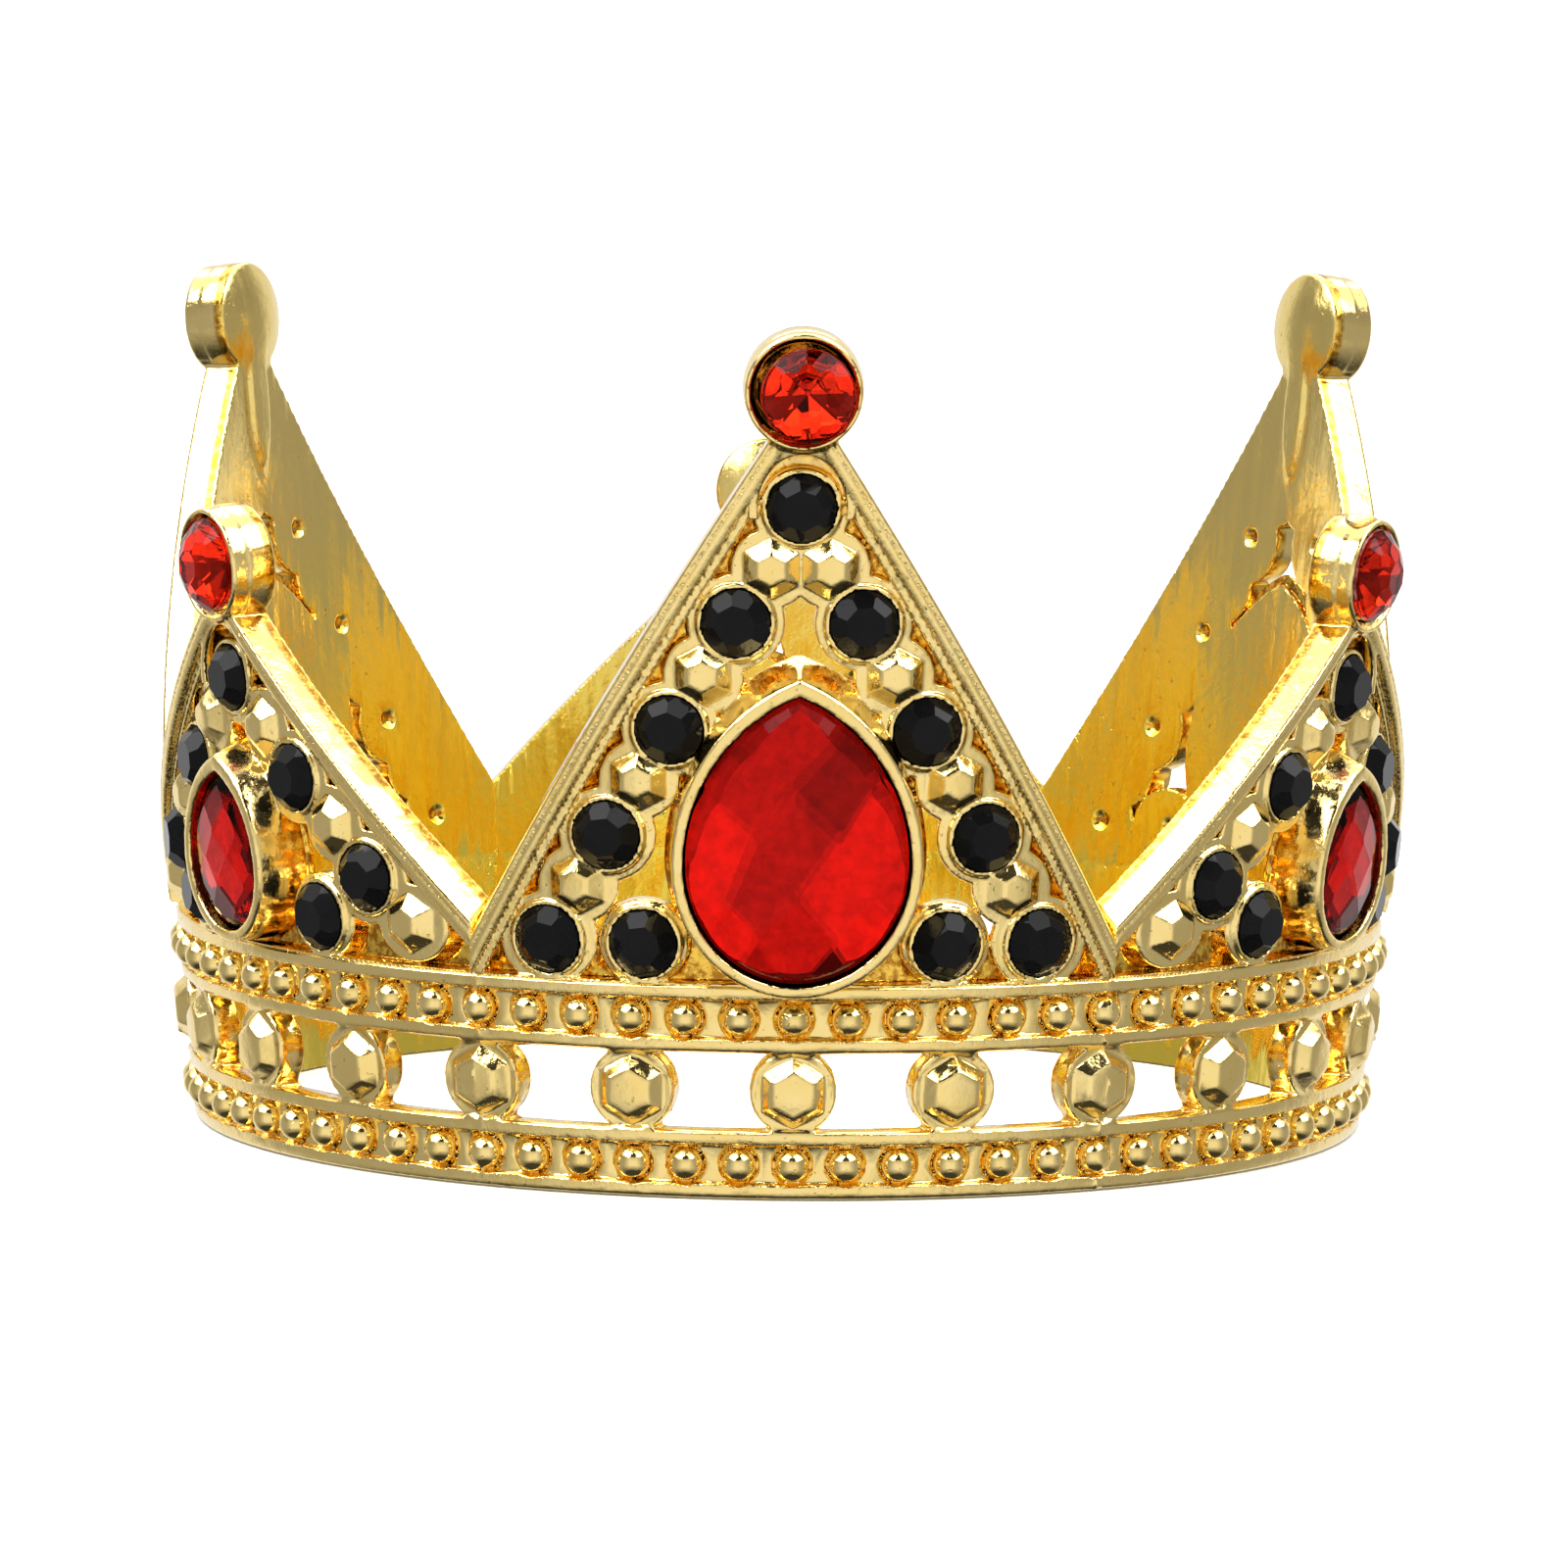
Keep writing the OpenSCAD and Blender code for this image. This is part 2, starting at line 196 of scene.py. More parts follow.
def drop_outline(drop, grow=0.0, peak=0.0, steps=20):
    """Teardrop: half an ellipse below the widest place and two leaning arcs above it."""
    w, up, down = drop[0] + grow, drop[1] + peak, drop[2] + grow
    r = (w * w + up * up) / (2 * w)
    sweep = math.asin(up / r)
    a = np.linspace(0, sweep, steps, endpoint=False)
    b = np.linspace(math.pi, 2 * math.pi, 2 * steps, endpoint=False)[1:]
    u = np.concatenate([w - r + r * np.cos(a), [0], -(w - r + r * np.cos(a))[::-1], w * np.cos(b)])
    v = np.concatenate([r * np.sin(a), [up], (r * np.sin(a))[::-1], down * np.sin(b)])
    return u, v


# ---------------------------------------------------------------- the moulded ring
RING_STEP, POINT_STEP = ((0.13, 0.12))


def ring_shape():
    edge = wall_r(UPPER_BAND_Z + BAND_H) + 2.0
    block = Block((-edge, -edge, -1.0), (edge, edge, TOP_Z + 1.0), RING_STEP)
    for z0 in (0.0, UPPER_BAND_Z):
        middle = z0 + BAND_H / 2

        def band(x, y, z, middle=middle):
            off = off_wall(x, y, z)
            d = smax(smax(off - RIM_OUT, np.abs(z - middle) - BAND_H / 2, 0.3), -(off + WALL_IN), 0.04)
            channel = smax(np.abs(z - middle) - (BAND_H / 2 - RIM_W), -off, 0.2)
            return smax(d, -channel, 0.16)

        block.add(block.window((-99, -99, z0 - 1), (99, 99, z0 + BAND_H + 1)), band, 0.02)
    for k in range(MEDALLIONS):
        seat = Seat(360 * k / MEDALLIONS, (BAND_H + UPPER_BAND_Z) / 2)

        def medallion(x, y, z, seat=seat):
            u, v, w = seat.local(x, y, z)
            slab = smax(w - 0.12, -(w + WALL_IN - 0.12), 0.2)
            plate = smax(disc(u, v, MEDALLION_R), slab, 0.22)
            foot = smax(smax(np.abs(u) - FOOT_W / 2, w + 0.15, 0.15), -(w + WALL_IN - 0.12), 0.2)
            foot = smax(foot, np.abs(v) - 2.75, 0.1)
            lip = smax(np.abs(disc(u, v, MEDALLION_R - 0.16)) - 0.12, np.abs(w) - 0.22, 0.1)
            boss = hex_boss(u, v, w, -0.6, ((1.95, 0.05), (1.3, 0.98), (1.04, 1.08)))
            return smin(smin(smin(plate, foot, 0.25), lip, 0.12), boss, 0.08)

        block.add(block.around(seat.at, 4.2), medallion, 0.3)
    for k in range(BEADS):
        for z0 in (0.0, UPPER_BAND_Z):
            seat = Seat(360 * k / BEADS, z0 + BAND_H / 2)

            def pocket(x, y, z, seat=seat):
                u, v, w = seat.local(x, y, z)
                return smax(disc(u, v, POCKET_R) - 0.45 * np.clip(w, -0.6, 0), -(w + 0.5), 0.1)

            def bead(x, y, z, seat=seat):
                u, v, w = seat.local(x, y, z)
                return np.sqrt(u * u + v * v + w * w) - BEAD_R

            place = block.around(seat.at, 1.9)
            block.cut(place, pocket, 0.08)
            block.add(place, bead, 0.06)
    for k in range(6):                        # the mould's parting lines, between the points
        seat = Seat(PITCH * (k + 0.5), TOP_Z / 2)
        where, (x, y, z) = block.around(seat.at, TOP_Z / 2 + 1)
        u = seat.local(x, y, z)[0]
        flash = 0.05 + 0.04 * np.sin(2.3 * z + k) + 0.05 * np.sin(5.1 * z + 2 * k)
        block.d[where] = smin(block.d[where], np.maximum(np.abs(u) - 0.07, block.d[where] - flash), 0.05)
    return block.surface()


# ---------------------------------------------------------------- the points
def outline(d):
    """Half width of a point's front edge, from the neck down, as seen along its mould's slide."""
    z = np.linspace(d["neck_z"] + 0.4, TOP_Z - 1.5, 12)
    x = (wall_r(z) + BORDER_OUT) * np.sin(np.radians(d["neck_deg"] + d["slope"] * (d["neck_z"] - z)))
    return np.concatenate([x, -x[::-1]]), np.concatenate([z, z[::-1]])


def across(place):
    return wall_r(place[0]) * math.sin(math.radians(place[1]))


def point_shape(d):
    reach_x = (wall_r(TOP_Z) + 2) * math.sin(math.radians(PITCH / 2)) + 0.6
    front = -(wall_r(d["cup_z"]) + TIP_OUT + 1.2)
    back = -(wall_r(TOP_Z) - WALL_IN) * math.cos(math.radians(PITCH / 2)) + 1.2
    block = Block((-reach_x, front, TOP_Z - 1.2), (reach_x, back, d["cup_z"] + TIP_R + 1), POINT_STEP)
    everywhere = block.window((-99, -99, -99), (99, 99, 99))
    x, y, z = everywhere[1]
    off = off_wall(x, y, z)
    edge = polygon(*outline(d), x, z)
    inwards = -edge
    stones = [d["top"]] + d["row"]

    def circles(places, r, k, d0):
        for place in places:
            for side in ((1, -1) if place[1] else (1,)):
                d0 = smin(d0, disc(x - side * across(place), z - place[0], r), k)
        return d0

    flats = circles(stones, BLACK_R + 0.88, 0.1, np.full(edge.shape, 9.0, np.float32))
    flats = circles([d["base"]], BLACK_R + 0.62, 0.1, flats)
    flats = circles(d["domes"], 2.4, 0.12, flats)
    w0, up, down, drop_z = d["drop"]
    row_line = smax(edge + 0.4, inwards - 4.0, 0.2)
    sill = np.abs(z - TOP_Z) - 0.3
    plate2d = np.minimum(row_line, np.broadcast_to(sill, edge.shape))
    drop2d = polygon(*drop_outline(d["drop"], BEZEL_W + 0.35, 1.5), x, (z - drop_z) / math.cos(LEAN))
    plate2d = np.minimum(plate2d, drop2d)
    plate2d = np.minimum(plate2d, flats)
    foot = 0.06 + 0.35 * np.clip(1 - off / 0.3, 0, 1)      # the foot runs a little way into the band behind its rim
    within = smax(edge, -(z - TOP_Z + foot), 0.03)
    solid = smax(plate2d, off - RECESS_OUT, 0.12)
    solid = smin(solid, smax(flats, off - WEB_OUT, 0.2), 0.05)
    step = smax(inwards - 1.62, off - 0.36, 0.14)
    ridge_top = BORDER_OUT - 0.1 * np.exp(-((inwards - 0.36) / 0.07) ** 2) - 0.5 * np.clip(inwards - 0.62, 0, 0.4) ** 1.5
    ridge = smax(inwards - 1.08, off - ridge_top, 0.2)
    solid = smin(smin(solid, step, 0.08), ridge, 0.08)
    solid = smax(solid, within, 0.2)
    solid = smax(solid, -(off + WALL_IN), 0.04)
    block.d[:] = solid

    for place in stones + [d["base"]]:
        for side in ((1, -1) if place[1] else (1,)):
            seat = Seat(side * place[1], place[0])

            def cup(x, y, z, seat=seat):
                u, v, w = seat.local(x, y, z)
                r = np.sqrt(u * u + v * v)
                wall = smax(r - (BLACK_R + 0.3) - 0.3 * np.clip(CUP_OUT - w, 0, 1), w - CUP_OUT, 0.12)
                return smax(wall, -(w + 1.2), 0.1)

            def bore(x, y, z, seat=seat):
                u, v, w = seat.local(x, y, z)
                return smax(disc(u, v, BLACK_R + 0.05), -(w + 0.36), 0.05)

            def dimple(x, y, z, seat=seat):
                u, v, w = seat.local(x, y, z)
                return np.sqrt(u * u + v * v + (w + WALL_IN + 0.35) ** 2) - 0.72

            reach = block.around(seat.at, 3.6)
            block.add(reach, cup, 0.12)
            block.cut(reach, bore, 0.05)
            block.cut(reach, dimple, 0.12)
    seat = Seat(0, d["top"][0])
    place = block.around(seat.at, 4.6)

    def arch(x, y, z):
        u, v, w = seat.local(x, y, z)
        curve = (np.sqrt((u / 2.85) ** 2 + (v / 3.5) ** 2) - 1) * 3.1
        return smax(smax(smax(np.abs(curve) - 0.28, w - 0.62, 0.15), -(w + 1.0), 0.1), -(v + 0.6), 0.1)

    def crescent(x, y, z):
        u, v, w = seat.local(x, y, z)
        curve = (np.sqrt((u / 2.85) ** 2 + (v / 3.5) ** 2) - 1) * 3.1
        return smax(smax(smax(curve + 0.3, 2.42 - np.sqrt(u * u + v * v), 0.1), -(w + 0.85), 0.1), 0.4 - v, 0.1)

    block.cut(place, crescent, 0.08)
    block.add(place, arch, 0.08)
    for place in d["domes"]:
        for side in (1, -1):
            seat = Seat(side * place[1], place[0])

            def boss(x, y, z, seat=seat):
                u, v, w = seat.local(x, y, z)
                return hex_boss(u, v, w, -0.6, ((1.7, 0.0), (0.86, 0.84), (0.72, 0.9)))

            block.add(block.around(seat.at, 3.0), boss, 0.06)

    seat = Seat(0, drop_z)
    outer = drop_outline(d["drop"], BEZEL_W, BEZEL_W * 1.35)
    inner = drop_outline(d["drop"], 0.03, 0.03)

    def bezel(x, y, z):
        u, v, w = seat.local(x, y, z)
        draft = (0.04 + 0.3 * np.clip(v / up * 2 - 1, 0, 1)) * np.clip(BEZEL_OUT - w, 0, 3)
        d0 = polygon(*outer, u, v) - draft
        d0 = smax(d0, w - BEZEL_OUT, 0.25)
        d0 = smax(d0, -(off_wall(x, y, z) + 1.2), 0.1)
        hollow = smax(polygon(*inner, u, v), -(w - 0.1), 0.05)
        return smax(d0, -hollow, 0.18)

    tall = max(up, down) + 3.5
    block.add(block.around(seat.at, tall), bezel, 0.1)
    block.cut(block.around(seat.at, tall), lambda x, y, z: smax(
        polygon(*inner, *seat.local(x, y, z)[:2]), -(seat.local(x, y, z)[2] - 0.1), 0.05), 0.05)

    seat = Seat(0, d["cup_z"])

    def tip(x, y, z):
        u, v, w = seat.local(x, y, z)
        r = np.sqrt(u * u + v * v)
        body = smax(smax(r - TIP_R, w - TIP_OUT, 0.3), -(w + WALL_IN), 0.35)
        sphere_r = (TIP_R ** 2 + 0.85 ** 2) / (2 * 0.85)
        dome = np.sqrt(u * u + v * v + (w + WALL_IN + 0.85 - sphere_r) ** 2) - sphere_r
        dome = smax(smax(dome, r - TIP_R, 0.2), w, 0.1)
        neck_in = np.sqrt((u / 1.0) ** 2 + ((v + 5.2) / 4.4) ** 2) - 1
        spoon = smax(neck_in, np.abs(w + WALL_IN + 0.05) - 0.4, 0.3)
        bore = smax(r - (TIP_STONE_R + 0.05) - 0.42 * np.clip(w - 0.35, 0, 1), -(w + 0.8), 0.1)
        return smax(smin(smin(body, dome, 0.25), spoon, 0.4), -bore, 0.14)

    block.add(block.around(seat.at, TIP_R + 7.0), tip, 0.3)
    block.cut(block.around(seat.at, TIP_R + 1.0), lambda x, y, z: smax(
        disc(*seat.local(x, y, z)[:2], TIP_STONE_R + 0.05), -(seat.local(x, y, z)[2] + 0.8), 0.1), 0.1)

    c, s = math.cos(math.radians(PITCH / 2)), math.sin(math.radians(PITCH / 2))
    sector = np.maximum(x * c + y * s, -x * c + y * s) - 0.1
    block.d[:] = smax(block.d, np.broadcast_to(sector, block.d.shape), 0.04)
    return block.surface()


# ---------------------------------------------------------------- meshes
RING_FACES, POINT_FACES = 170_000, 96_000
SHARP = math.radians(38)


def finish_mesh(name, mesh, node, materials):
    ob = bpy.data.objects.new(name, mesh)
    bpy.context.scene.collection.objects.link(ob)
    for m in materials:
        mesh.materials.append(m)
    if node:
        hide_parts(*([node] if isinstance(node, str) else node))
    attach(ob, "root")
    return ob


def reduced(points, quads, faces):
    """The surface as a triangle mesh of at most that many faces."""
    mesh = bpy.data.meshes.new("surface")
    mesh.vertices.add(len(points))
    mesh.vertices.foreach_set("co", (points * MM).astype(np.float32).ravel())
    mesh.loops.add(quads.size)
    mesh.loops.foreach_set("vertex_index", quads.astype(np.int32).ravel())
    mesh.polygons.add(len(quads))
    mesh.polygons.foreach_set("loop_start", np.arange(0, quads.size, 4, dtype=np.int32))
    mesh.update(calc_edges=True)
    ob = bpy.data.objects.new("surface", mesh)
    bpy.context.scene.collection.objects.link(ob)
    decimate = ob.modifiers.new("Decimate", "DECIMATE")
    decimate.ratio = min(1.0, faces / (2 * len(quads)))
    bpy.context.view_layer.update()
    done = bpy.data.meshes.new_from_object(ob.evaluated_get(bpy.context.evaluated_depsgraph_get()))
    bpy.data.objects.remove(ob)
    co = np.empty(len(done.vertices) * 3, np.float32)
    done.vertices.foreach_get("co", co)
    done.calc_loop_triangles()
    corners = np.empty(len(done.loop_triangles) * 3, np.int32)
    done.loop_triangles.foreach_get("vertices", corners)
    return co.reshape(-1, 3), corners


def ring_chatter_and_crease_shade(x, y, z):
    """How close each place is to the milled edges of the rims, from 0 to 1. It drives the chatter relief and a painted
    shade along these edges.
    """
    near = np.full(z.shape, 9.0)
    for z0 in (0.0, UPPER_BAND_Z):
        near = np.minimum(near, np.abs(np.abs(z - z0 - BAND_H / 2) - (BAND_H / 2 - RIM_W + 0.05)))
    return np.clip(1.2 - near / 0.12, 0, 1) * (off_wall(x, y, z) > -0.1)


def point_chatter_and_crease_shade(d, x, y, z):
    """The same for a point's border: its outer face, the groove on its front and its inner edge."""
    inwards = -polygon(*outline(d), x, z)
    near = np.minimum(np.abs(inwards - 0.36), np.abs(inwards - 1.02))
    below = (z > TOP_Z + 0.3) & (z < d["neck_z"])
    return np.clip(1.2 - near / 0.1, 0, 1) * (off_wall(x, y, z) > 0.2) * below


def gold_mesh(name, co, corners, chatter_and_crease_shade, turn):
    """One casting's mesh, turned about the axis, with its depth, finish and painted-shade mask kept on every vertex."""
    a = math.radians(turn)
    rot = np.array([[math.cos(a), -math.sin(a), 0], [math.sin(a), math.cos(a), 0], [0, 0, 1]], np.float32)
    co = co @ rot.T
    mesh = bpy.data.meshes.new(name)
    mesh.vertices.add(len(co))
    mesh.vertices.foreach_set("co", co.ravel())
    mesh.loops.add(len(corners))
    mesh.loops.foreach_set("vertex_index", corners)
    mesh.polygons.add(len(corners) // 3)
    mesh.polygons.foreach_set("loop_start", np.arange(0, len(corners), 3, dtype=np.int32))
    mesh.update(calc_edges=True)
    mesh.validate()
    mesh.shade_smooth()
    mesh.set_sharp_from_angle(angle=SHARP)
    normal = np.empty(len(mesh.vertices) * 3, np.float32)
    mesh.vertices.foreach_get("normal", normal)
    normal = normal.reshape(-1, 3)
    x, y, z = (co / MM).T
    off = off_wall(x, y, z)
    outward = (normal[:, 0] * x + normal[:, 1] * y) / np.sqrt(x * x + y * y)
    flat = (np.abs(outward) > 0.97) & (np.abs(off - WEB_OUT / 2) < 0.14)
    satin = np.where(flat & (outward > 0), 1.0, 0.0)
    satin = np.where((outward < -0.9) & (off < -WALL_IN + 0.2), 0.9, satin)
    for label, values in (("satin", satin), ("depth", off), ("chatter_and_crease_shade", chatter_and_crease_shade)):
        layer = mesh.attributes.new(label, "FLOAT", "POINT")
        layer.data.foreach_set("value", values.astype(np.float32))
    return mesh


def cut_stone(outline_uv, low, high, planes):
    """A prism cut by planes, as a stone is ground."""
    bm = bmesh.new()
    face = bm.faces.new([bm.verts.new((u, v, low)) for u, v in outline_uv])
    made = bmesh.ops.extrude_face_region(bm, geom=[face])
    for v in made["geom"]:
        if isinstance(v, bmesh.types.BMVert):
            v.co.z = high
    for co, no in planes:
        geom = bm.verts[:] + bm.edges[:] + bm.faces[:]
        cut = bmesh.ops.bisect_plane(bm, geom=geom, dist=1e-4, plane_co=co, plane_no=no, clear_outer=True)
        edges = [e for e in cut["geom_cut"] if isinstance(e, bmesh.types.BMEdge)]
        if len(edges) > 2:
            bmesh.ops.edgeloop_fill(bm, edges=edges)
    bmesh.ops.remove_doubles(bm, verts=bm.verts, dist=1e-3)
    bmesh.ops.dissolve_degenerate(bm, edges=bm.edges, dist=1e-3)
    bmesh.ops.recalc_face_normals(bm, faces=bm.faces)
    bm.verts.index_update()
    shape = ([tuple(v.co) for v in bm.verts], [[v.index for v in f.verts] for f in bm.faces],
             [f.normal.z < -0.05 for f in bm.faces])
    bm.free()
    return shape


def circle(r, count, start=0.0):
    return [(r * math.cos(start + 2 * math.pi * i / count), r * math.sin(start + 2 * math.pi * i / count))
            for i in range(count)]


def tier(count, r_in, z_in, r_out, z_out, start=0.0):
    """A ring of facets that slope down from (r_in, z_in) to (r_out, z_out)."""
    planes = []
    rise, run = z_in - z_out, r_out - r_in
    length = math.hypot(rise, run)
    for i in range(count):
        a = start + 2 * math.pi * i / count
        c, s = math.cos(a), math.sin(a)
        planes.append(((c * r_in, s * r_in, z_in), (c * rise / length, s * rise / length, run / length)))
    return planes


def under(planes):
    """The same facets on the underside."""
    return [((x, y, -z), (nx, ny, -nz)) for (x, y, z), (nx, ny, nz) in planes]


def black_shape():
    """A flat-backed stone: an eight-sided table, eight facets and a low girdle."""
    crown = tier(8, 1.12, BLACK_H, BLACK_R + 0.02, 0.62)
    bevel = tier(40, BLACK_R - 0.1, 0.8, BLACK_R + 0.01, 0.66)
    return cut_stone(circle(BLACK_R, 40), 0.0, BLACK_H, crown + bevel)


def round_shape():
    """A pointed-back stone: a small table, two tiers of facets in front and eight meeting behind."""
    crown = tier(8, 0.85, 1.42, 2.0, 0.86) + tier(8, 1.75, 1.02, TIP_STONE_R, 0.16, math.pi / 8)
    crown += tier(16, 2.45, 0.42, TIP_STONE_R + 0.03, 0.1, math.pi / 16)
    table = [((0, 0, 1.36), (0, 0, 1))]
    back = under(tier(8, 0.05, 1.75, TIP_STONE_R, 0.3, math.pi / 8) + tier(16, 2.3, 0.62, TIP_STONE_R + 0.02, 0.28))
    return cut_stone(circle(TIP_STONE_R, 48), -1.72, 1.5, crown + table + back)


def drop_shape(drop):
    """A flat-backed teardrop: a smooth skirt, then a low dome cut into diamonds."""
    w, up, down, _ = drop
    girdle, height = 0.7, 2.4
    edge_u, edge_v = drop_outline(drop, 0.0, 0.0, 14)
    planes, jitter = [], np.random.default_rng(3)
    n = len(edge_u)
    middle = (up - down) / 2
    half = (up + down) / 2
    for i in range(n):                        # the skirt: a rounded edge that follows the outline
        ax, ay, bx, by = edge_u[i - 1], edge_v[i - 1], edge_u[i], edge_v[i]
        nx, ny = by - ay, ax - bx
        length = math.hypot(nx, ny)
        nx, ny = nx / length, ny / length
        for tilt, drop_in, z in ((18, 0.0, girdle), (42, 0.14, girdle + 0.34), (58, 0.42, girdle + 0.62)):
            t = math.radians(tilt)
            at = (ax - nx * drop_in * w / 6.65, ay - ny * drop_in * w / 6.65, z if w > 5 else girdle + (z - girdle) * 0.75)
            planes.append((at, (nx * math.cos(t), ny * math.cos(t), math.sin(t))))
    rise = (height - girdle - 0.4) if w > 5 else (height - girdle - 0.75)
    columns, rows = 2.15 / 6.65 * w, 2.85 / 8.65 * half
    top = height if w > 5 else height - 0.35
    for i in range(-5, 6):                    # the dome: planes that touch it on a lattice of diamonds
        for j in range(-5, 6):
            if (i + j) % 2:
                continue
            u, v = i * columns, middle - 0.35 + j * rows
            q = (u / (w * 1.02)) ** 2 + ((v - middle) / (half * 1.05)) ** 2
            if q > 1.7:
                continue
            slope = (2 * rise * u / (w * 1.02) ** 2, 2 * rise * (v - middle) / (half * 1.05) ** 2)
            tilt = jitter.uniform(-0.025, 0.025, 2)
            planes.append(((u, v, top - rise * q), (slope[0] + tilt[0], slope[1] + tilt[1], 1.0)))
    return cut_stone(list(zip(edge_u, edge_v)), 0.0, height + 0.2, planes)


def stone_mesh(name, parts, steep_facet_shade=1.0):
    """Stones as one mesh. Each part is a shape, a seat, a height above the wall, a spin, a lean and a shift. Each facet
    gets a painted reflection tone, and the last argument scales the steep facets' tone down as painted shade."""
    verts, faces, backs, facet_painted_light = [], [], [], []
    for (points, polygons, back), seat, height, spin, lean, shift in parts:
        p = np.array(points)
        c, s = math.cos(spin), math.sin(spin)
        u, v, w = c * p[:, 0] - s * p[:, 1], s * p[:, 0] + c * p[:, 1], p[:, 2]
        w = w + math.sin(lean[0]) * u + math.sin(lean[1]) * v
        base = len(verts)
        verts.extend((seat.world(u + shift[0], v + shift[1], w + height) * MM).tolist())
        faces.extend([[base + k for k in polygon] for polygon in polygons])
        for polygon in polygons:              # painted reflections and shade: facets near a stone's ends and rim are painted darker, the rest differ at random
            centre = p[polygon].mean(axis=0)
            far = abs(centre[1]) / p[:, 1].max()
            tone = rng.uniform(0.3, 1.0) - max(0.0, far - 0.35) * rng.uniform(0.6, 1.6)
            across_face = np.cross(p[polygon[1]] - p[polygon[0]], p[polygon[2]] - p[polygon[1]])
            steep = abs(across_face[2]) < 0.88 * np.linalg.norm(across_face)
            facet_painted_light.append(tone * (steep_facet_shade if steep else 1.0))
        backs.extend(back)
    mesh = bpy.data.meshes.new(name)
    mesh.from_pydata(verts, [], faces)
    mesh.polygons.foreach_set("material_index", [int(b) for b in backs])
    mesh.attributes.new("facet", "FLOAT", "FACE").data.foreach_set("value", np.clip(facet_painted_light, 0.05, 1).astype(np.float32))
    mesh.update()
    return mesh


# ---------------------------------------------------------------- materials
def shader(name):
    m = bpy.data.materials.new(name)
    m.use_nodes = True
    tree = m.node_tree
    tree.nodes.clear()
    out = tree.nodes.new("ShaderNodeOutputMaterial")
    bsdf = tree.nodes.new("ShaderNodeBsdfPrincipled")
    tree.links.new(bsdf.outputs["BSDF"], out.inputs["Surface"])
    return m, tree, bsdf


class Graph:
    """Short hands for wiring nodes."""

    def __init__(self, tree):
        self.tree = tree

    def node(self, kind, inputs=(), **options):
        n = self.tree.nodes.new("ShaderNode" + kind)
        for key, value in options.items():
            setattr(n, key, value)
        for key, value in dict(inputs).items():
            if isinstance(value, bpy.types.NodeSocket):
                self.tree.links.new(value, n.inputs[key])
            else:
                n.inputs[key].default_value = value
        return n

    def math(self, kind, a, b=0.0, c=0.0):
        return self.node("Math", {0: a, 1: b, 2: c}, operation=kind).outputs[0]

    def mm(self):
        """Object coordinates in millimetres."""
        co = self.node("TexCoord").outputs["Object"]
        return self.node("VectorMath", {0: co, 3: 1 / MM}, operation="SCALE").outputs[0]

    def noise(self, at, scale, detail=2.0, rough=0.5):
        n = self.node("TexNoise", {"Vector": at, "Scale": scale, "Detail": detail, "Roughness": rough})
        return n.outputs["Fac"]

    def ramp(self, value, low, high, a=0.0, b=1.0):
        n = self.node("MapRange", {0: value, 1: low, 2: high, 3: a, 4: b})
        return n.outputs[0]

    def mix(self, factor, a, b):
        n = self.node("Mix", {0: factor, 6: a, 7: b}, data_type="RGBA")
        return n.outputs[2]

    def attribute(self, name):
        return self.node("Attribute", attribute_name=name).outputs["Fac"]

    def bump(self, height, strength, distance, normal=None):
        inputs = {"Height": height, "Strength": strength, "Distance": distance * MM}
        if normal is not None:
            inputs["Normal"] = normal
        return self.node("Bump", inputs).outputs["Normal"]

    def set(self, bsdf, **sockets):
        for key, value in sockets.items():
            socket = bsdf.inputs[key.replace("_", " ")]
            if isinstance(value, bpy.types.NodeSocket):
                self.tree.links.new(value, socket)
            else:
                socket.default_value = value


